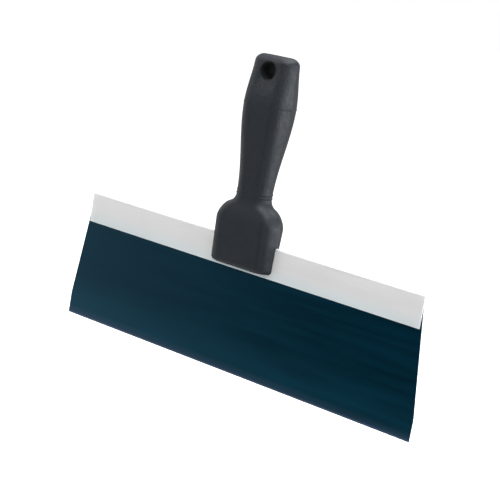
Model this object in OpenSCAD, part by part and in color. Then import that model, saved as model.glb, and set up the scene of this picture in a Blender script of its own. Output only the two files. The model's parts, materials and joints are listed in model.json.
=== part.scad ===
// Drywall taping knife: a wide spring-steel blade, gripped along its back by a folded metal strip,
// and a one-piece moulded handle whose forked base straddles the strip and is screwed to it.
// The knife stands on its working edge: X along the blade, -Y out of the front face,
// Z up the handle. The origin is the middle of the working edge.

/* [Blade] */
// Width of the working edge
blade_w = 304.8; // [200:0.2:360]
// Thickness of the spring steel
blade_t = 0.5; // [0.4:0.05:1]
// Height from the working edge to the lower edge of the backing strip
blade_reach = 73.2; // [60:0.2:90]
// Height of the parallel ends above the working edge
blade_square_h = 15.25; // [8:0.25:30]
// Width of the blade where it enters the backing strip
blade_neck_w = 290.8; // [190:0.2:350]

/* [Backing strip] */
// Length of the folded strip
strip_w = 287.8; // [185:0.2:345]
// Height of the folded strip
strip_h = 22.4; // [18:0.2:28]
// Thickness of the sheet that the strip is folded from
strip_sheet = 0.9; // [0.7:0.05:1.2]

/* [Handle base] */
// Overall width of the base
base_w = 53.4; // [46:0.2:60]
// Depth of the base, front to back
base_d = 21.8; // [20.8:0.2:24]
// Height of the strip that shows below the base
base_gap = 2.8; // [1:0.2:5]
// Height of the straight part of the base above the strip
base_rise = 12; // [8:0.5:18]

/* [Handle grip] */
// Width of the neck
neck_w = 27.4; // [22:0.2:32]
// Depth of the neck
neck_d = 17; // [12:0.2:20]
// Width of the grip where it is fullest
grip_w = 36.8; // [30:0.2:42]
// Depth of the grip where it is fullest
grip_d = 25.4; // [18:0.2:30]
// Height at which the grip is fullest
grip_z = 188.5; // [175:0.5:195]
// Width of the handle at its top
cap_w = 34; // [26:0.2:38]
// Depth of the handle at its top
cap_d = 17.4; // [14:0.2:22]
// Overall height of the knife
top_z = 222.5; // [219:0.5:235]

/* [Hang hole] */
// Diameter of the hang hole
hang_d = 11.6; // [6:0.2:12]
// Distance from the top of the handle to the middle of the hang hole
hang_drop = 10.5; // [10:0.25:16]
// Length of the straight wall of the hang hole
hang_wall = 16.4; // [10:0.2:17]
// Diameter of the funnel at each mouth of the hang hole
funnel_d = 17; // [14:0.2:19]

/* [Screws] */
// Distance between the two screws
screw_pitch = 26; // [16:0.5:34]
// Thread diameter of the screws
screw_d = 4; // [3:0.25:5]
// Length of a screw under its head
screw_len = 14; // [11:0.5:14]

/* [Hidden] */
$fn = 48;

// Fits
sheet_play = 0.02;
slot_play = 0.05;
pilot_play = 0.02;
screw_play = 0.25;
head_play = 0.5;
head_sunk = 4.4;
fold_play = 0.5;

// How far a cutting shape runs past the face that it cuts
cut = 1;

// Backing strip
strip_t = 2 * strip_sheet + blade_t + 2 * sheet_play;
strip_top_z = blade_reach + strip_h;
fold_inner_r = strip_t / 2 - strip_sheet;
lip_r = strip_sheet / 2;

// Blade
blade_top_z = strip_top_z - strip_sheet - fold_inner_r - fold_play;
blade_taper = (blade_w - blade_neck_w) / 2 / (blade_reach - blade_square_h);
blade_top_w = blade_neck_w - 2 * blade_taper * (blade_top_z - blade_reach);
edge_bevel_h = 1.2;
edge_t = 0.3;

// Handle section: each side is a bevel that runs from the flat face out to the middle plane
bevel_foot = 4.4;
bevel_base = 4.2;
bevel_grip = 2.8;
shoulder_swell = 1.8;
crease_steps = 5;
middle_steps = 2;

// The crease's radius is even, unless it is too large a share of the section's half depth
crease_r = 8.6;
crease_share = 1.25;
middle_share = 0.3;

// Handle profile
base_z = blade_reach + base_gap;
base_top_z = strip_top_z + base_rise;
foot_draft_w = 0.8;
foot_draft_d = 3.4;
shoulder_r = 13;
neck_fillet_r = 8.6;
shoulder_turn = acos(1 - (base_w - neck_w) / 2 / (shoulder_r + neck_fillet_r));
shoulder_end_z = base_top_z + (shoulder_r + neck_fillet_r) * sin(shoulder_turn);
foot_r = 3;
cap_inset = 5.5;
cap_h = 5;
foot_steps = 4;
base_steps = 3;
shoulder_steps = 12;
grip_steps = 10;
top_steps = 6;
cap_steps = 5;

// Hang hole
hang_z = top_z - hang_drop;
funnel_depth = 2;

// Screws
screw_z = (base_z + strip_top_z) / 2;
head_d = 2 * screw_d;
head_h = 0.6 * screw_d;
head_seat_y = base_d / 2 - head_sunk;
counterbore_d = head_d + 2 * head_play;
recess_d = 0.55 * head_d;
recess_w = 0.28 * screw_d;
recess_h = 0.65 * head_h;
tip_d = 0.4 * screw_d;
tip_h = 0.6 * screw_d;
tip_gap = 0.5;

blade_colour = [0.06, 0.2, 0.27];
strip_colour = [0.82, 0.82, 0.83];
handle_colour = [0.17, 0.19, 0.21];
screw_colour = [0.62, 0.63, 0.65];

// Smooth step from 0 to 1 as z goes from z0 to z1
function ease(z, z0, z1) =
    let (t = share(z, z0, z1))
    t * t * (3 - 2 * t);

// Value at height z that goes smoothly through base, neck, grip and cap
function along(z, base, neck, grip, cap) =
    z < shoulder_end_z ? base + (neck - base) * ease(z, base_top_z, shoulder_end_z)
    : z < grip_z ? neck + (grip - neck) * ease(z, shoulder_end_z, grip_z)
    : grip + (cap - grip) * ease(z, grip_z, top_z);

// How far z is on the way from low to high, from 0 to 1
function share(z, low, high) = max(0, min(1, (z - low) / (high - low)));

// Straight run from the foot of the base to its top
function foot_to_base(z, foot, base) = foot + (base - foot) * share(z, base_z, base_top_z);

// The shoulder is a convex arc that turns into a concave arc at the neck
function shoulder_drop(z) =
    let (rise = z - base_top_z, knee = shoulder_r * sin(shoulder_turn))
    rise <= 0 ? 0
    : rise < knee ? shoulder_r - sqrt(shoulder_r * shoulder_r - rise * rise)
    : (base_w - neck_w) / 2 - neck_fillet_r
      + sqrt(max(0, pow(neck_fillet_r, 2) - pow(shoulder_end_z - z, 2)));

// How far the section shrinks at the rounded foot and the rounded top
function end_inset(z) =
    z < base_z + foot_r ? foot_r - sqrt(max(0, pow(foot_r, 2) - pow(base_z + foot_r - z, 2)))
    : z > top_z - cap_h ? cap_inset * (1 - sqrt(max(0, 1 - pow((z - top_z + cap_h) / cap_h, 2))))
    : 0;

function half_width(z) =
    (z < shoulder_end_z ? foot_to_base(z, base_w - foot_draft_w, base_w) / 2 - shoulder_drop(z)
     : along(z, base_w, neck_w, grip_w, cap_w) / 2) - end_inset(z);

function half_depth(z) =
    (z < base_top_z ? foot_to_base(z, base_d - foot_draft_d, base_d)
     : along(z, base_d, neck_d, grip_d, cap_d)) / 2 - end_inset(z);

// The bevel is widest on the shoulder, and nearly even below it and up the grip
function bevel(z) =
    z < base_top_z ? foot_to_base(z, bevel_foot, bevel_base)
    : along(z, bevel_base, bevel_grip, bevel_grip, bevel_grip)
      + shoulder_swell * sin(180 * share(z, base_top_z, shoulder_end_z));

// Centre of a round of radius r between the flat front face and the bevelled side
function crease_centre(a, b, r, turn) =
    [a - r * (1 - sin(turn)) / cos(turn), b - r];

// One quarter of the section, from the flat face to the middle plane, as [x, y] points
function quarter(z) =
    let (
        c = half_width(z),
        b = half_depth(z),
        k = bevel(z),
        r = min(crease_r, crease_share * b),
        turn = atan2(k, b),
        centre = crease_centre(c - k, b, r, turn),
        middle_r = middle_share * b,
        apex_x = c - middle_r / cos(turn)
    )
    concat(
        [for (i = [0 : crease_steps])
            let (t = 90 + (turn - 90) * i / crease_steps)
            centre + r * [cos(t), sin(t)]],
        [for (i = [0 : middle_steps - 1])
            let (t = turn * (1 - i / middle_steps))
            [apex_x + middle_r * cos(t), middle_r * sin(t)]],
        [[apex_x + middle_r, 0]]
    );

// Whole section at height z: the quarter and its mirror images, in order round the handle
function ring(z) =
    let (q = quarter(z), n = len(q))
    concat(
        [for (i = [0 : n - 1]) [q[i][0], -q[i][1], z]],
        [for (i = [n - 2 : -1 : 0]) [q[i][0], q[i][1], z]],
        [for (i = [0 : n - 1]) [-q[i][0], q[i][1], z]],
        [for (i = [n - 2 : -1 : 0]) [-q[i][0], -q[i][1], z]]
    );

// Heights of the sections: close together where the outline turns
function spread(z0, z1, steps) = [for (i = [0 : steps - 1]) z0 + (z1 - z0) * i / steps];

levels = concat(
    [for (i = [0 : foot_steps - 1]) base_z + foot_r * (1 - cos(90 * i / foot_steps))],
    spread(base_z + foot_r, base_top_z, base_steps),
    spread(base_top_z, shoulder_end_z, shoulder_steps),
    spread(shoulder_end_z, grip_z, grip_steps),
    spread(grip_z, top_z - cap_h, top_steps),
    [for (i = [0 : cap_steps]) top_z - cap_h + cap_h * sin(90 * i / cap_steps)]
);

// Closed skin through a list of rings that all have the same number of points
module loft(rings) {
    n = len(rings[0]);
    last = len(rings) - 1;
    points = [for (a_ring = rings) for (p = a_ring) p];
    sides = [
        for (j = [0 : last - 1])
        for (i = [0 : n - 1])
        let (i2 = (i + 1) % n, low = j * n, high = (j + 1) * n)
        each [[low + i, low + i2, high + i2], [low + i, high + i2, high + i]]
    ];
    foot = [[for (i = [0 : n - 1]) i]];
    cap = [[for (i = [n - 1 : -1 : 0]) last * n + i]];
    polyhedron(points, concat(sides, foot, cap));
}

// Cylinder along Y from y0 to y1
module y_cylinder(d, y0, y1, x = 0, z = 0) {
    translate([x, y0, z])
        rotate([-90, 0, 0])
            cylinder(d = d, h = y1 - y0);
}

// Cone along Y from diameter d0 at y0 to d1 at y1
module y_cone(d0, d1, y0, y1, x = 0, z = 0) {
    translate([x, y0, z])
        rotate([-90, 0, 0])
            cylinder(d1 = d0, d2 = d1, h = y1 - y0);
}

// Clearance holes for both screws
module screw_holes(d, y0, y1) {
    for (side = [-1, 1])
        y_cylinder(d, y0, y1, side * screw_pitch / 2, screw_z);
}

module blade() {
    outline = [
        [-blade_w / 2, 0],
        [blade_w / 2, 0],
        [blade_w / 2, blade_square_h],
        [blade_top_w / 2, blade_top_z],
        [-blade_top_w / 2, blade_top_z],
        [-blade_w / 2, blade_square_h]
    ];
    section = [
        [-edge_t / 2, 0],
        [edge_t / 2, 0],
        [blade_t / 2, edge_bevel_h],
        [blade_t / 2, blade_top_z],
        [-blade_t / 2, blade_top_z],
        [-blade_t / 2, edge_bevel_h]
    ];
    color(blade_colour)
        difference() {
            intersection() {
                rotate([90, 0, 0])
                    linear_extrude(height = 2 * blade_t, center = true)
                        polygon(outline);
                rotate([90, 0, 90])
                    linear_extrude(height = blade_w + 2 * cut, center = true)
                        polygon(section);
            }
            screw_holes(screw_d + 2 * screw_play, -cut, cut);
        }
}

// Folded section of the strip: two legs and a round fold, with rounded lower lips
module strip_section() {
    fold_z = strip_top_z - strip_t / 2;
    difference() {
        union() {
            translate([0, fold_z])
                circle(d = strip_t);
            translate([-strip_t / 2, blade_reach + lip_r])
                square([strip_t, fold_z - blade_reach - lip_r]);
            for (side = [-1, 1])
                translate([side * (fold_inner_r + lip_r), blade_reach + lip_r])
                    circle(r = lip_r);
        }
        translate([0, fold_z])
            circle(r = fold_inner_r);
        translate([-fold_inner_r, blade_reach - cut])
            square([2 * fold_inner_r, fold_z - blade_reach + cut]);
    }
}

module backing_strip() {
    color(strip_colour)
        difference() {
            rotate([90, 0, 90])
                linear_extrude(height = strip_w, center = true)
                    strip_section();
            screw_holes(screw_d + 2 * screw_play, -strip_t, strip_t);
        }
}

module handle() {
    slot_w = strip_t + 2 * slot_play;
    color(handle_colour)
        difference() {
            loft([for (z = levels) ring(z)]);
            // slot that straddles the strip
            translate([-base_w, -slot_w / 2, base_z - cut])
                cube([2 * base_w, slot_w, strip_top_z + slot_play - base_z + cut]);
            // hang hole with a funnel at each mouth
            y_cylinder(hang_d, -grip_d, grip_d, 0, hang_z);
            y_cone(hang_d, funnel_d, hang_wall / 2, hang_wall / 2 + funnel_depth, 0, hang_z);
            y_cone(funnel_d, hang_d, -hang_wall / 2 - funnel_depth, -hang_wall / 2, 0, hang_z);
            // blind pilot holes in the front jaw, clearance and counterbores in the rear jaw
            screw_holes(screw_d + 2 * pilot_play, head_seat_y - screw_len - tip_gap, 0);
            screw_holes(screw_d + 2 * screw_play, 0, head_seat_y + cut);
            screw_holes(counterbore_d, head_seat_y, base_d);
        }
}

// Screw with its head towards the back, and a cross recess in the head
module handle_screw(x) {
    color(screw_colour)
        difference() {
            union() {
                y_cylinder(screw_d, head_seat_y - screw_len + tip_h, head_seat_y, x, screw_z);
                y_cone(tip_d, screw_d, head_seat_y - screw_len,
                    head_seat_y - screw_len + tip_h, x, screw_z);
                y_cylinder(head_d, head_seat_y, head_seat_y + head_h, x, screw_z);
            }
            for (turn = [0, 90])
                translate([x, head_seat_y + head_h, screw_z])
                    rotate([0, turn, 0])
                        cube([recess_d, 2 * recess_h, recess_w], center = true);
        }
}

module handle_screw_left() {
    handle_screw(-screw_pitch / 2);
}

module handle_screw_right() {
    handle_screw(screw_pitch / 2);
}

blade();
backing_strip();
handle();
handle_screw_left();
handle_screw_right();
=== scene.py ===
import math

import bmesh
import bpy
from mathutils import Matrix, Vector
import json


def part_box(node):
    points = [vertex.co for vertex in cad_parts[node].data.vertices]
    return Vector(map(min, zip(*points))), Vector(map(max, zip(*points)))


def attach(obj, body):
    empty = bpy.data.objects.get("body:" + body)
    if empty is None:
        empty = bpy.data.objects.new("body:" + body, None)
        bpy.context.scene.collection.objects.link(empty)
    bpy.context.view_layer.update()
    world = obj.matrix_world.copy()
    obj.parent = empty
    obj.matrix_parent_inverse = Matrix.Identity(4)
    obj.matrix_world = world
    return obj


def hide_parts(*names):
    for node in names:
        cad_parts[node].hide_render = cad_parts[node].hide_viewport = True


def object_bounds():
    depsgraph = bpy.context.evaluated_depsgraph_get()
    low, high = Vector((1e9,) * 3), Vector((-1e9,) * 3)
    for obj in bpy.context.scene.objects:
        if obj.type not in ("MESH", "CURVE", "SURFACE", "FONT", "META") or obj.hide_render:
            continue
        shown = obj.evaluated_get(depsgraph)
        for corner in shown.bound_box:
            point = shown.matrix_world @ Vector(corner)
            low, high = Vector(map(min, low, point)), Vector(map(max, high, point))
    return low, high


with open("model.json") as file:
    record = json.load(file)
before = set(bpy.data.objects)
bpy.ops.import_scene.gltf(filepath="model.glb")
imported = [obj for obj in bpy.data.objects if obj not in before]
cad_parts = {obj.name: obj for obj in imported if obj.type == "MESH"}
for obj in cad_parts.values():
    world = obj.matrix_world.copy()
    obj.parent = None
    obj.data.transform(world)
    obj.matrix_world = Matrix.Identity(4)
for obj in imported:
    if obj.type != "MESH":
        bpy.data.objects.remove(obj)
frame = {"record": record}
CAD_LOW, CAD_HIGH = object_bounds()

# A drywall taping knife, in metres, in the CAD model's frame: X along the working edge, -Y out
# of the front face, Z up the handle. Boxes come from the CAD nodes. The other values repeat the
# design's own dimensions, and each detail is drawn inside its node's box.

MM = 0.001
BODY = "root"

# ---------------------------------------------------------------- places from the frame
BLADE_LOW, BLADE_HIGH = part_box("blade")
STRIP_LOW, STRIP_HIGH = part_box("backing_strip")
HANDLE_LOW, HANDLE_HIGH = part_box("handle")
SCREW_BOXES = {side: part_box("handle_screw_" + side) for side in ("left", "right")}
HANG = frame["record"]["mounts"][0]

# ---------------------------------------------------------------- sheets and screws, in metres
SHEET = 0.9 * MM
SHEET_HOLE_R = 2.25 * MM
SQUARE_H = 15.25 * MM
BLADE_NECK_W = 290.8 * MM
HEAD_H = 2.4 * MM

# ---------------------------------------------------------------- handle, in millimetres
BASE_W = 53.4
BASE_D = 21.8
FOOT_DRAFT_W, FOOT_DRAFT_D = 0.8, 3.4
BASE_RISE = 12.0
NECK_W = 27.4
NECK_D = 17.0
GRIP_W = 36.8
GRIP_D = (HANDLE_HIGH[1] - HANDLE_LOW[1]) / MM
GRIP_Z = 188.5
CAP_W = 34.0
CAP_D = 17.4
TOP_Z = HANDLE_HIGH[2] / MM
BASE_Z = HANDLE_LOW[2] / MM
STRIP_TOP_Z = STRIP_HIGH[2] / MM
BASE_TOP_Z = STRIP_TOP_Z + BASE_RISE
SHOULDER_R = 13.0
NECK_FILLET_R = 8.6
BEVEL_FOOT, BEVEL_BASE, BEVEL_GRIP = 4.4, 4.2, 2.8
SHOULDER_SWELL = 1.8
CREASE_R, CREASE_SHARE, MIDDLE_SHARE = 8.6, 1.25, 0.3
FOOT_R = 3.0
CAP_H, CAP_INSET = 5.0, 5.5
SLOT_PLAY, PILOT_PLAY, SCREW_PLAY, HEAD_PLAY = 0.05, 0.02, 0.25, 0.5
WELL_LIP, PILOT_EXTRA = 0.5, 0.5
# The grain's depth on the base, the heights where it grows to full, and how far it fades at the top
BASE_GRAIN, GRAIN_START, GRAIN_FADE = 0.22, (122, 129), 4
# Where the polish, and the end of the bore's painted shade, start and are full, measured outwards from
# the wall of the bore
POLISH_AND_SHADE_START, POLISH_AND_SHADE_FULL = -0.4, 2.8
SHOULDER_TURN = math.acos(1 - (BASE_W - NECK_W) / 2 / (SHOULDER_R + NECK_FILLET_R))
SHOULDER_END_Z = BASE_TOP_Z + (SHOULDER_R + NECK_FILLET_R) * math.sin(SHOULDER_TURN)


def share(z, low, high):
    """How far z is on the way from low to high, from 0 to 1."""
    return max(0.0, min(1.0, (z - low) / (high - low)))


def ease(z, z0, z1):
    """Smooth step from 0 to 1 as z goes from z0 to z1."""
    t = share(z, z0, z1)
    return t * t * (3 - 2 * t)


def along(z, base, neck, grip, cap):
    """A value at height z that goes smoothly through base, neck, grip and cap."""
    if z < SHOULDER_END_Z:
        return base + (neck - base) * ease(z, BASE_TOP_Z, SHOULDER_END_Z)
    if z < GRIP_Z:
        return neck + (grip - neck) * ease(z, SHOULDER_END_Z, GRIP_Z)
    return grip + (cap - grip) * ease(z, GRIP_Z, TOP_Z)


def foot_to_base(z, foot, base):
    """A value at height z that goes evenly from the handle's foot to the top of its base."""
    return foot + (base - foot) * share(z, BASE_Z, BASE_TOP_Z)


def shoulder_drop(z):
    """How far the shoulder's convex arc, then the neck's concave arc, has drawn the side in."""
    rise = z - BASE_TOP_Z
    if rise <= 0:
        return 0.0
    if rise < SHOULDER_R * math.sin(SHOULDER_TURN):
        return SHOULDER_R - math.sqrt(SHOULDER_R**2 - rise**2)
    left = max(0.0, NECK_FILLET_R**2 - (SHOULDER_END_Z - z) ** 2)
    return (BASE_W - NECK_W) / 2 - NECK_FILLET_R + math.sqrt(left)


def end_inset(z):
    """How far the section shrinks at the rounded foot and the rounded top."""
    if z < BASE_Z + FOOT_R:
        return FOOT_R - math.sqrt(max(0.0, FOOT_R**2 - (BASE_Z + FOOT_R - z) ** 2))
    if z > TOP_Z - CAP_H:
        t = share(z, TOP_Z - CAP_H, TOP_Z)
        return CAP_INSET * (1 - math.sqrt(1 - t * t))
    return 0.0


def half_width(z):
    if z < SHOULDER_END_Z:
        side = foot_to_base(z, BASE_W - FOOT_DRAFT_W, BASE_W) / 2 - shoulder_drop(z)
    else:
        side = along(z, BASE_W, NECK_W, GRIP_W, CAP_W) / 2
    return side - end_inset(z)


def half_depth(z):
    if z < BASE_TOP_Z:
        depth = foot_to_base(z, BASE_D - FOOT_DRAFT_D, BASE_D)
    else:
        depth = along(z, BASE_D, NECK_D, GRIP_D, CAP_D)
    return depth / 2 - end_inset(z)


def bevel_at(z):
    """The bevel is widest on the shoulder, and nearly even below it and up the grip."""
    if z < BASE_TOP_Z:
        return foot_to_base(z, BEVEL_FOOT, BEVEL_BASE)
    swell = SHOULDER_SWELL * math.sin(math.pi * share(z, BASE_TOP_Z, SHOULDER_END_Z))
    return along(z, BEVEL_BASE, BEVEL_GRIP, BEVEL_GRIP, BEVEL_GRIP) + swell


# Raised border lines across each bevelled side, as (height, size)
BORDER_LINES = ((126.5, 0.50), (128.9, 0.42), (188.8, 0.34))
BORDER_ABOVE, BORDER_BELOW = 1.1, 0.6


def border(z, side):
    """Height of the border lines at z. side is 0 at the crease's start and 1 on the middle plane."""
    lines = (
        size * min(share(z, at - BORDER_BELOW, at), 1 - share(z, at, at + BORDER_ABOVE))
        for at, size in BORDER_LINES
    )
    return ease(side, 0.10, 0.25) * sum(lines)


FLAT_STEPS, ARC_STEPS, BEVEL_STEPS, APEX_STEPS = 14, 12, 8, 5
PARTING_H, PARTING_HALF = 0.09, 0.16


def quarter(z):
    """A quarter of the section at height z, from the middle of the flat face to the middle plane."""
    c, b, k = half_width(z), half_depth(z), bevel_at(z)
    r, middle_r = min(CREASE_R, CREASE_SHARE * b), MIDDLE_SHARE * b
    turn = math.atan2(k, b)
    a = c - k
    centre_x, centre_y = a - r * (1 - math.sin(turn)) / math.cos(turn), b - r
    apex_x = c - middle_r / math.cos(turn)
    points = [(centre_x * i / FLAT_STEPS, b) for i in range(FLAT_STEPS)]
    for i in range(ARC_STEPS + 1):
        t = math.pi / 2 + (turn - math.pi / 2) * i / ARC_STEPS
        points.append((centre_x + r * math.cos(t), centre_y + r * math.sin(t)))
    start = points[-1]
    end = (apex_x + middle_r * math.cos(turn), middle_r * math.sin(turn))
    for i in range(1, BEVEL_STEPS):
        t = i / BEVEL_STEPS
        points.append((start[0] + (end[0] - start[0]) * t, start[1] + (end[1] - start[1]) * t))
    for i in range(APEX_STEPS):
        t = turn * (1 - i / APEX_STEPS)
        points.append((apex_x + middle_r * math.cos(t), middle_r * math.sin(t)))
    # the mould's parting line: a fine ridge on the middle plane
    points.append((apex_x + middle_r, PARTING_HALF))
    points.append((apex_x + middle_r + PARTING_H, 0.0))
    raised = []
    for i, (x, y) in enumerate(points):
        lift = border(z, (i - FLAT_STEPS) / (len(points) - FLAT_STEPS)) if i > FLAT_STEPS else 0.0
        raised.append((x + lift * math.cos(turn), y + lift * math.sin(turn) * (1 if y > 0 else 0)))
    return raised


def ring(z):
    """The whole section at height z: the quarter and its three mirror images."""
    q = quarter(z)
    n = len(q)
    right_front = [(q[i][0], -q[i][1]) for i in range(n)]
    right_back = [(q[i][0], q[i][1]) for i in range(n - 2, -1, -1)]
    left_back = [(-q[i][0], q[i][1]) for i in range(1, n)]
    left_front = [(-q[i][0], -q[i][1]) for i in range(n - 2, 0, -1)]
    return [(x * MM, y * MM, z * MM) for x, y in right_front + right_back + left_back + left_front]


def handle_levels():
    """Heights of the handle's rings, close together where the outline or the border lines turn."""
    levels = [BASE_Z + FOOT_R * (1 - math.cos(math.pi / 2 * i / 8)) for i in range(8)]
    z = BASE_Z + FOOT_R
    while z < TOP_Z - CAP_H:
        levels.append(z)
        near = min(abs(z - at) for at, _size in BORDER_LINES)
        z += 0.15 if near < BORDER_ABOVE else 0.7
    levels += [TOP_Z - CAP_H + CAP_H * math.sin(math.pi / 2 * i / 14) for i in range(15)]
    return levels


def new_object(name, bm):
    mesh = bpy.data.meshes.new(name)
    bm.normal_update()
    bm.to_mesh(mesh)
    bm.free()
    obj = bpy.data.objects.new(name, mesh)
    bpy.context.scene.collection.objects.link(obj)
    return obj


def loft(name, rings):
    """A closed skin through rings that all have the same number of points."""
    bm = bmesh.new()
    rows = [[bm.verts.new(p) for p in points] for points in rings]
    n = len(rows[0])
    for low, high in zip(rows, rows[1:]):
        for i in range(n):
            bm.faces.new((low[i], low[(i + 1) % n], high[(i + 1) % n], high[i]))
    bm.faces.new(list(reversed(rows[0])))
    bm.faces.new(rows[-1])
    bmesh.ops.recalc_face_normals(bm, faces=bm.faces)
    return new_object(name, bm)


def turned(name, profile, axis_x, axis_z, steps=96, thread=None):
    """Closed solid of revolution about a line along Y. profile is [(y, radius), ...].

    thread, if any, gives what it adds to the radius at y and angle.
    """
    rings = []
    for y, radius in profile:
        points = []
        for i in range(steps):
            t = 2 * math.pi * i / steps
            r = radius + (thread(y, t) if thread else 0.0)
            points.append((axis_x + r * math.cos(t), y, axis_z + r * math.sin(t)))
        rings.append(points)
    return loft(name, rings)


def cut(obj, *cutters):
    """Subtracts the cutters from obj and removes them."""
    for cutter in cutters:
        step = obj.modifiers.new("cut", "BOOLEAN")
        step.operation = "DIFFERENCE"
        step.solver = "MANIFOLD"
        step.object = cutter
    bake_modifiers(obj)
    for cutter in cutters:
        bpy.data.objects.remove(cutter)


def bake_modifiers(obj):
    """Replaces obj's mesh with the one that its modifiers make."""
    graph = bpy.context.evaluated_depsgraph_get()
    mesh = bpy.data.meshes.new_from_object(obj.evaluated_get(graph))
    obj.modifiers.clear()
    obj.data = mesh


def box_cutter(name, low, high):
    bm = bmesh.new()
    bmesh.ops.create_cube(bm, size=1.0)
    size = [h - l for l, h in zip(low, high)]
    middle = [(l + h) / 2 for l, h in zip(low, high)]
    bmesh.ops.scale(bm, vec=size, verts=bm.verts)
    bmesh.ops.translate(bm, vec=middle, verts=bm.verts)
    return new_object(name, bm)


def smooth(obj, angle_deg):
    for face in obj.data.polygons:
        face.use_smooth = True
    obj.data.set_sharp_from_angle(angle=math.radians(angle_deg))


# ---------------------------------------------------------------- handle
def funnel_profile():
    """Half of the hang hole's wall, from the middle of the handle out: bore, then a round lip."""
    bore_r = HANG["dims"]["r_mm"] * MM
    lip_y, reach = HANG["dims"]["length_mm"] / 2 * MM, 12.5 * MM
    lip_depth, lip_rise = 2.0 * MM, 3.6 * MM
    last_deg, steps = 65, 12
    points = [(0.0, bore_r)]
    for i in range(steps + 1):
        t = math.radians(last_deg * i / steps)
        points.append((lip_y + lip_depth * math.sin(t), bore_r + lip_rise * (1 - math.cos(t))))
    y, radius = points[-1]
    spread = lip_rise / lip_depth * math.tan(math.radians(last_deg))
    points.append((reach, radius + (reach - y) * spread))
    return points


def screw_axis(box):
    """The X and Z of the axis of the screw in box."""
    low, high = box
    return (low[0] + high[0]) / 2, (low[2] + high[2]) / 2


def screw_cutters():
    """For each screw: a well for its head with a clearance hole, and a blind pilot hole in front."""
    cutters = []
    for low, high in SCREW_BOXES.values():
        x, z = screw_axis((low, high))
        head_r = (high[0] - low[0]) / 2
        shank_r = head_r / 2
        clear_r, pilot_r = shank_r + SCREW_PLAY * MM, shank_r + PILOT_PLAY * MM
        well_r = head_r + HEAD_PLAY * MM
        seat_y, face_y, lip = high[1] - HEAD_H, half_depth(z / MM) * MM, WELL_LIP * MM
        well = [
            (0.0, clear_r),
            (seat_y, clear_r),
            (seat_y, well_r),
            (face_y - lip, well_r),
            (face_y + lip, well_r + 2 * lip),
        ]
        cutters.append(turned("well_cutter", well, x, z, 64))
        pilot = [(low[1] - PILOT_EXTRA * MM, pilot_r), (0.0, pilot_r)]
        cutters.append(turned("pilot_cutter", pilot, x, z, 48))
    return cutters


def mark_finish_and_shade(obj):
    """Writes on each vertex how deep the pebbled grain is, and how polished and free of painted shade: 0
    in the hang hole, whose wall is rough and painted dark.
    """
    grain = obj.data.attributes.new("grain", "FLOAT", "POINT")
    polish_and_bore_shade = obj.data.attributes.new("polish_and_bore_shade", "FLOAT", "POINT")
    hole_r, hole_z = HANG["dims"]["r_mm"], HANG["pos_m"][2] / MM
    for vertex, grain_value, polish_and_bore_shade_value in zip(obj.data.vertices, grain.data, polish_and_bore_shade.data):
        x, z = vertex.co.x / MM, vertex.co.z / MM
        grip, top = ease(z, *GRAIN_START), ease(z, TOP_Z - GRAIN_FADE, TOP_Z)
        grain_value.value = BASE_GRAIN + (1 - BASE_GRAIN) * grip * (1 - top / 2)
        off_bore = math.hypot(x, z - hole_z) - hole_r
        polish_and_bore_shade_value.value = ease(off_bore, POLISH_AND_SHADE_START, POLISH_AND_SHADE_FULL)


def make_handle():
    """The handle: the skin of its level sections, less the strip's slot and all its holes."""
    obj = loft("handle_body", [ring(z) for z in handle_levels()])
    slot_half = STRIP_HIGH[1] + SLOT_PLAY * MM
    slot = box_cutter(
        "slot_cutter",
        (-BASE_W * MM, -slot_half, (BASE_Z - 1) * MM),
        (BASE_W * MM, slot_half, STRIP_HIGH[2] + SLOT_PLAY * MM),
    )
    half = funnel_profile()
    profile = [(-y, r) for y, r in reversed(half[1:])] + half
    hang = turned("hang_cutter", profile, HANG["pos_m"][0], HANG["pos_m"][2])
    cut(obj, slot, hang, *screw_cutters())
    mark_finish_and_shade(obj)
    smooth(obj, 32)
    return obj


# ---------------------------------------------------------------- blade and strip
def screw_hole_cutters(reach):
    """A cylinder through the sheets at each screw, reach long to either side of the middle plane."""
    hole = [(-reach, SHEET_HOLE_R), (reach, SHEET_HOLE_R)]
    return [turned("hole_cutter", hole, *screw_axis(box), 48) for box in SCREW_BOXES.values()]


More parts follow.
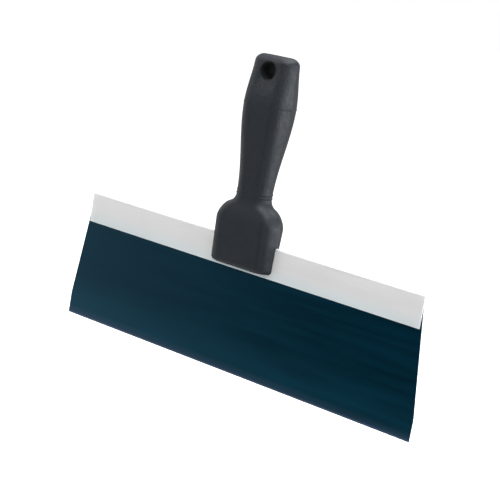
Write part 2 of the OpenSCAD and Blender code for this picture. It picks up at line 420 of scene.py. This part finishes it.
def make_blade():
    """The blade: a sheet with a ground working edge, tapered ends and its two screw holes."""
    width = BLADE_HIGH[0] - BLADE_LOW[0]
    thick = BLADE_HIGH[1] - BLADE_LOW[1]
    top = BLADE_HIGH[2]
    taper = (width - BLADE_NECK_W) / 2 / (STRIP_LOW[2] - SQUARE_H)
    columns, rows = 96, 44
    grind_h, edge_t = 1.2 * MM, 0.3 * MM
    chamfer = 0.07 * MM

    def half_at(z):
        return width / 2 - max(0.0, z - SQUARE_H) * taper

    def level(j):
        fine = [0.0, 0.1 * MM, 0.4 * MM, 0.8 * MM, grind_h, grind_h + 0.3 * MM]
        if j < len(fine):
            return fine[j]
        return fine[-1] + (top - fine[-1]) * (j - len(fine) + 1) / (rows - len(fine))

    def half_thick(z, x):
        t = edge_t / 2 + (thick - edge_t) / 2 * min(1.0, z / grind_h)
        edge = min(half_at(z) - abs(x), top - z)
        return t - chamfer * (1 - min(1.0, edge / chamfer)) if edge < chamfer else t

    bm = bmesh.new()
    sides = []
    for side in (-1, 1):
        grid = []
        for j in range(rows):
            z = level(j)
            half = half_at(z)
            line = []
            for i in range(columns + 1):
                u = -1 + 2 * i / columns
                x = half * u
                if i == 1:
                    x = -half + chamfer
                if i == columns - 1:
                    x = half - chamfer
                line.append(bm.verts.new((x, side * half_thick(z, x), z)))
            grid.append(line)
        sides.append(grid)
    front, back = sides
    for grid, flip in ((front, False), (back, True)):
        for j in range(rows - 1):
            for i in range(columns):
                quad = (grid[j][i], grid[j][i + 1], grid[j + 1][i + 1], grid[j + 1][i])
                bm.faces.new(reversed(quad) if flip else quad)
    for i in range(columns):
        bm.faces.new((front[0][i + 1], front[0][i], back[0][i], back[0][i + 1]))
        bm.faces.new((front[-1][i], front[-1][i + 1], back[-1][i + 1], back[-1][i]))
    for j in range(rows - 1):
        bm.faces.new((front[j][0], front[j + 1][0], back[j + 1][0], back[j][0]))
        bm.faces.new((front[j + 1][-1], front[j][-1], back[j][-1], back[j + 1][-1]))
    bmesh.ops.recalc_face_normals(bm, faces=bm.faces)
    obj = new_object("blade_sheet", bm)
    cut(obj, *screw_hole_cutters(2 * MM))
    smooth(obj, 20)
    return obj


def strip_section():
    """Outline of the folded strip in the YZ plane: over the fold outside, then back up the channel."""
    half, low, top = STRIP_HIGH[1], STRIP_LOW[2], STRIP_HIGH[2]
    inner = half - SHEET
    lip_h = 0.5 * MM
    fold_z = top - half
    lip_turns = [math.pi / 2 * i / 10 for i in range(11)]
    points = [(inner + SHEET * math.sin(t), low + lip_h * (1 - math.cos(t))) for t in lip_turns]
    for i in range(25):
        t = math.pi * i / 24
        points.append((half * math.cos(t), fold_z + half * math.sin(t)))
    points += [(-inner - SHEET * math.cos(t), low + lip_h * (1 - math.sin(t))) for t in lip_turns]
    for i in range(9):
        t = math.pi * (1 - i / 8)
        points.append((inner * math.cos(t), fold_z + inner * math.sin(t)))
    return points


def make_strip():
    """The strip: its folded section drawn out along X, with softened edges."""
    section = strip_section()
    low_x, high_x = STRIP_LOW[0], STRIP_HIGH[0]
    slices = 48
    xs = [low_x + (high_x - low_x) * i / slices for i in range(slices + 1)]
    obj = loft("backing_channel", [[(x, y, z) for y, z in section] for x in xs])
    cut(obj, *screw_hole_cutters(4 * MM))
    edge = obj.modifiers.new("edge", "BEVEL")
    edge.width = 0.16 * MM
    edge.segments = 3
    edge.limit_method = "ANGLE"
    edge.angle_limit = math.radians(50)
    bake_modifiers(obj)
    smooth(obj, 35)
    return obj


# ---------------------------------------------------------------- screws
def make_screw(side):
    """Pan-head tapping screw with its head at the back: domed head, cross recess and a thread."""
    low, high = SCREW_BOXES[side]
    x, z = screw_axis((low, high))
    head_r = (high[0] - low[0]) / 2
    seat = high[1] - HEAD_H
    root_r, tip_r, tip = 0.74 * head_r / 2, 0.15 * MM, low[1]
    crest, pitch, point, rim = head_r / 2 - root_r, 1.6 * MM, 2.4 * MM, 0.7 * MM
    plain_y = seat - 1.0 * MM

    def thread(y, angle):
        """A sharp ridge that climbs one pitch a turn and runs out at both ends of the shank."""
        phase = (y / pitch - angle / (2 * math.pi)) % 1.0
        ridge = max(0.0, 1 - abs(phase - 0.5) / 0.32)
        return crest * ridge * share(y, tip, tip + point) * (1 - share(y, plain_y - pitch / 2, plain_y))

    rings = 110
    profile = []
    for i in range(rings + 1):
        y = tip + (plain_y - tip) * i / rings
        profile.append((y, tip_r + (root_r - tip_r) * share(y, tip, tip + point)))
    profile += [(seat, root_r * 1.15), (seat, head_r - 0.15 * MM), (seat + 0.12 * MM, head_r)]
    for i in range(13):
        t = math.pi / 2 * i / 12
        profile.append((seat + rim + (HEAD_H - rim) * math.sin(t), head_r * (0.6 + 0.4 * math.cos(t))))
    profile.append((high[1], 0.05 * MM))
    obj = turned("screw_" + side, profile, x, z, 64, thread)
    cutters = []
    arm, slot_w, depth = 0.55 * head_r, 0.28 * head_r, 1.5 * MM
    for along_x in (True, False):
        half = (arm, slot_w / 2) if along_x else (slot_w / 2, arm)
        cutters.append(
            box_cutter(
                "recess_cutter",
                (x - half[0], high[1] - depth, z - half[1]),
                (x + half[0], high[1] + depth, z + half[1]),
            )
        )
    cut(obj, *cutters)
    smooth(obj, 28)
    return obj


# ---------------------------------------------------------------- materials
class Nodes:
    """Short calls for building a node tree, from the place or direction that it is read at."""

    def __init__(self, tree, place):
        self.tree = tree
        self.place = self.add("ShaderNodeTexCoord").outputs[place]

    def add(self, kind, **values):
        node = self.tree.nodes.new(kind)
        for key, value in values.items():
            setattr(node, key, value)
        return node

    def link(self, output, target):
        self.tree.links.new(output, target)

    def stretched(self, scale):
        node = self.add("ShaderNodeMapping")
        node.inputs["Scale"].default_value = scale
        self.link(self.place, node.inputs["Vector"])
        return node.outputs["Vector"]

    def noise(self, scale, detail=2.0, stretch=None):
        node = self.add("ShaderNodeTexNoise")
        self.link(self.stretched(stretch) if stretch else self.place, node.inputs["Vector"])
        node.inputs["Scale"].default_value = scale
        node.inputs["Detail"].default_value = detail
        node.inputs["Roughness"].default_value = 0.5
        return node.outputs["Fac"]

    def voronoi(self, scale):
        node = self.add("ShaderNodeTexVoronoi", feature="SMOOTH_F1")
        self.link(self.place, node.inputs["Vector"])
        node.inputs["Scale"].default_value = scale
        node.inputs["Smoothness"].default_value = 0.6
        return node.outputs["Distance"]

    def remap(self, value, low, high, to_low=0.0, to_high=1.0):
        node = self.add("ShaderNodeMapRange", interpolation_type="SMOOTHSTEP")
        self.link(value, node.inputs["Value"])
        ends = {"From Min": low, "From Max": high, "To Min": to_low, "To Max": to_high}
        for key, number in ends.items():
            node.inputs[key].default_value = number
        return node.outputs["Result"]

    def math(self, operation, a, b):
        node = self.add("ShaderNodeMath", operation=operation)
        for socket, value in zip(node.inputs, (a, b)):
            if isinstance(value, (int, float)):
                socket.default_value = value
            else:
                self.link(value, socket)
        return node.outputs["Value"]

    def blend(self, factor, first, second):
        node = self.add("ShaderNodeMix", data_type="RGBA")
        self.link(factor, node.inputs["Factor"])
        for key, value in (("A", first), ("B", second)):
            socket = next(s for s in node.inputs if s.name == key and s.type == "RGBA")
            if isinstance(value, tuple):
                socket.default_value = (*value, 1)
            else:
                self.link(value, socket)
        return next(s for s in node.outputs if s.type == "RGBA")

    def axis(self, name):
        node = self.add("ShaderNodeSeparateXYZ")
        self.link(self.place, node.inputs["Vector"])
        return node.outputs[name]

    def attribute(self, name):
        node = self.add("ShaderNodeAttribute")
        node.attribute_name = name
        return node.outputs["Fac"]

    def bump(self, height, distance, below=None):
        node = self.add("ShaderNodeBump")
        node.inputs["Strength"].default_value = 1.0
        node.inputs["Distance"].default_value = distance
        self.link(height, node.inputs["Height"])
        if below:
            self.link(below, node.inputs["Normal"])
        return node.outputs["Normal"]


class Material(Nodes):
    """A material with one Principled shader."""

    def __init__(self, name):
        self.material = bpy.data.materials.new(name)
        self.material.use_nodes = True
        super().__init__(self.material.node_tree, "Object")
        self.shader = self.tree.nodes["Principled BSDF"]

    def finish(self, colour, roughness, normal, **constants):
        """Links the three patterns and sets the shader's other sockets, such as coat_weight=1."""
        self.link(colour, self.shader.inputs["Base Color"])
        self.link(roughness, self.shader.inputs["Roughness"])
        self.link(normal, self.shader.inputs["Normal"])
        for key, value in constants.items():
            self.shader.inputs[key.replace("_", " ").title().replace("Ior", "IOR")].default_value = value
        return self.material


def handle_plastic():
    n = Material("moulded_plastic")
    grain = n.attribute("grain")
    cloudy = n.remap(n.noise(55, 3), 0.3, 0.7)
    speckle = n.remap(n.noise(1400, 2), 0.45, 0.75)
    colour = n.blend(cloudy, (0.0055, 0.0098, 0.0160), (0.0080, 0.0125, 0.0192))
    colour = n.blend(n.math("MULTIPLY", speckle, 0.30), colour, (0.014, 0.020, 0.028))
    # painted shade: the wall of the hang hole is painted darker than the faces, and it is also rougher
    polish_and_bore_shade = n.attribute("polish_and_bore_shade")
    colour = n.blend(polish_and_bore_shade, (0.0010, 0.0030, 0.0035), colour)
    satin = n.remap(n.noise(260, 3), 0.3, 0.7, 0.46, 0.6)
    roughness = n.math("MAXIMUM", satin, n.remap(polish_and_bore_shade, 0.0, 1.0, 1.0, 0.0))
    pebbles = n.math("MULTIPLY", n.voronoi(1150), grain)
    normal = n.bump(pebbles, 0.00016)
    normal = n.bump(n.noise(2600, 2), 0.00002, below=normal)
    return n.finish(colour, roughness, normal, specular_ior_level=0.44)


def blued_steel():
    n = Material("blued_steel")
    height = n.axis("Z")
    cloudy = n.remap(n.noise(9, 3), 0.3, 0.7)
    streak = n.noise(1, 3, stretch=(10, 60, 1500))
    colour = n.blend(cloudy, (0.001, 0.053, 0.098), (0.002, 0.058, 0.107))
    colour = n.blend(n.remap(streak, 0.35, 0.7, 0.0, 0.30), colour, (0.002, 0.060, 0.112))
    # towards the working edge the blue gets paler, in three bands one over the other
    for full, none, tint in (
        (0.004, 0.036, (0.007, 0.088, 0.150)),
        (0.0012, 0.0075, (0.045, 0.115, 0.195)),
        (0.0008, 0.0020, (0.095, 0.165, 0.260)),
    ):
        colour = n.blend(n.remap(height, full, none, 1.0, 0.0), colour, tint)
    roughness = n.remap(n.noise(40, 3, stretch=(0.3, 1, 6)), 0.3, 0.7, 0.34, 0.42)
    normal = n.bump(streak, 0.000009)
    normal = n.bump(n.noise(14, 1), 0.0003, below=normal)
    return n.finish(colour, roughness, normal, metallic=1.0, coat_weight=0.52, coat_roughness=0.14)


def strip_metal():
    n = Material("rolled_metal")
    streak = n.noise(1, 3, stretch=(14, 800, 1300))
    cloudy = n.remap(n.noise(26, 3), 0.3, 0.7)
    colour = n.blend(cloudy, (0.915, 0.915, 0.915), (0.95, 0.95, 0.95))
    colour = n.blend(n.remap(streak, 0.4, 0.75, 0.0, 0.4), colour, (0.87, 0.87, 0.88))
    # painted highlight: a cool cyan tint, full at the strip's lower edge and gone by its middle height
    painted_highlight_top = (STRIP_LOW[2] + STRIP_HIGH[2]) / 2
    painted_cool_highlight = n.remap(n.axis("Z"), STRIP_LOW[2], painted_highlight_top, 1.0, 0.0)
    colour = n.blend(painted_cool_highlight, colour, (0.855, 0.93, 0.95))
    roughness = n.remap(n.noise(60, 3, stretch=(0.4, 1, 4)), 0.3, 0.7, 0.34, 0.46)
    normal = n.bump(streak, 0.000012)
    return n.finish(colour, roughness, normal, metallic=0.25)


def screw_steel():
    n = Material("zinc_plate")
    cloudy = n.remap(n.noise(600, 3), 0.3, 0.7)
    colour = n.blend(cloudy, (0.55, 0.55, 0.53), (0.68, 0.68, 0.67))
    roughness = n.remap(n.noise(1500, 2), 0.3, 0.7, 0.25, 0.42)
    normal = n.bump(n.noise(2400, 2), 0.00002)
    return n.finish(colour, roughness, normal, metallic=1.0)


def dress(obj, material, node):
    """Gives obj its material, and puts it in the place of a CAD node."""
    obj.data.materials.clear()
    obj.data.materials.append(material)
    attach(obj, BODY)
    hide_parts(node)


dress(make_handle(), handle_plastic(), "handle")
dress(make_blade(), blued_steel(), "blade")
dress(make_strip(), strip_metal(), "backing_strip")
SCREW_MATERIAL = screw_steel()
for each_side in SCREW_BOXES:
    dress(make_screw(each_side), SCREW_MATERIAL, "handle_screw_" + each_side)


# ---------------------------------------------------------------- stage, light and camera
FLOOR_Z = -0.35


def make_floor():
    """A plain pale floor, below the hanging knife."""
    bm = bmesh.new()
    bmesh.ops.create_grid(bm, x_segments=1, y_segments=1, size=30.0)
    obj = new_object("floor", bm)
    obj.location.z = FLOOR_Z
    n = Material("floor_paper")
    colour = n.blend(n.noise(3, 2), (0.90, 0.90, 0.90), (0.93, 0.93, 0.93))
    roughness = n.remap(n.noise(20), 0.3, 0.7, 0.85, 0.95)
    normal = n.bump(n.noise(400), 0.0002)
    glow = {"emission_color": (1, 1, 1, 1), "emission_strength": 1.0}
    obj.data.materials.append(n.finish(colour, roughness, normal, specular_ior_level=0.2, **glow))
    obj.visible_diffuse = obj.visible_glossy = False


def area_light(name, place, aim, size, power):
    """A square soft box, size metres wide, that faces aim."""
    data = bpy.data.lights.new(name, "AREA")
    data.size = size
    data.energy = power
    obj = bpy.data.objects.new(name, data)
    bpy.context.scene.collection.objects.link(obj)
    obj.location = place
    obj.rotation_euler = (Vector(aim) - Vector(place)).to_track_quat("-Z", "Y").to_euler()


def make_world():
    """White to the camera. To the knife, a room that is light on the left, below and behind."""
    world = bpy.data.worlds.new("studio")
    bpy.context.scene.world = world
    world.use_nodes = True
    n = Nodes(world.node_tree, "Generated")
    back = n.tree.nodes["Background"]
    back.inputs["Color"].default_value = (1, 1, 1, 1)
    left = n.remap(n.axis("X"), -0.95, -0.47, 0.98, 0.0)
    low = n.remap(n.axis("Z"), -0.80, -0.25, 1.03, 0.0)
    behind = n.remap(n.axis("Y"), 0.60, 0.95, 0.0, 0.60)
    room = n.math("ADD", n.math("ADD", left, low), n.math("ADD", behind, 0.01))
    camera_ray = n.add("ShaderNodeLightPath").outputs["Is Camera Ray"]
    n.link(n.math("MAXIMUM", room, camera_ray), back.inputs["Strength"])


def make_camera():
    """The camera stands to the knife's right and a little above, and is rolled."""
    azimuth, elevation, roll = (math.radians(a) for a in (35.0, 10.98, 10.02))
    distance, lens = 0.9524, 97.71
    aim_right, aim_up = 0.0186, 0.0849
    right = Vector((math.cos(azimuth), math.sin(azimuth), 0))
    ahead = Vector((
        -math.sin(azimuth) * math.cos(elevation),
        math.cos(azimuth) * math.cos(elevation),
        -math.sin(elevation),
    ))
    up = right.cross(ahead)
    rolled_right = right * math.cos(roll) + up * math.sin(roll)
    rolled_up = up * math.cos(roll) - right * math.sin(roll)
    place = rolled_right * aim_right + rolled_up * aim_up - ahead * distance
    data = bpy.data.cameras.new("camera")
    data.lens = lens
    data.clip_start, data.clip_end = 0.05, 100
    obj = bpy.data.objects.new("camera", data)
    bpy.context.scene.collection.objects.link(obj)
    turn = Matrix((rolled_right, rolled_up, -ahead)).transposed()
    obj.matrix_world = Matrix.Translation(place) @ turn.to_4x4()
    bpy.context.scene.camera = obj


make_floor()
make_world()
middle = (CAD_LOW + CAD_HIGH) / 2
area_light("key", (2.0, 1.1, 0.3), middle, 1.8, 35)
area_light("side", (2.0, -0.1, 0.1), middle, 1.8, 27)
area_light("top", (0.0, 0.3, 2.0), middle, 2.0, 50)
area_light("front", (0.8, -1.0, 2.0), middle, 1.2, 29)
area_light("front_left", (-1.2, -1.4, 1.4), middle, 1.2, 15)
area_light("fill", (0.5, -1.7, -0.1), middle, 1.0, 4.2)
make_camera()
bpy.context.scene.view_settings.view_transform = "Standard"
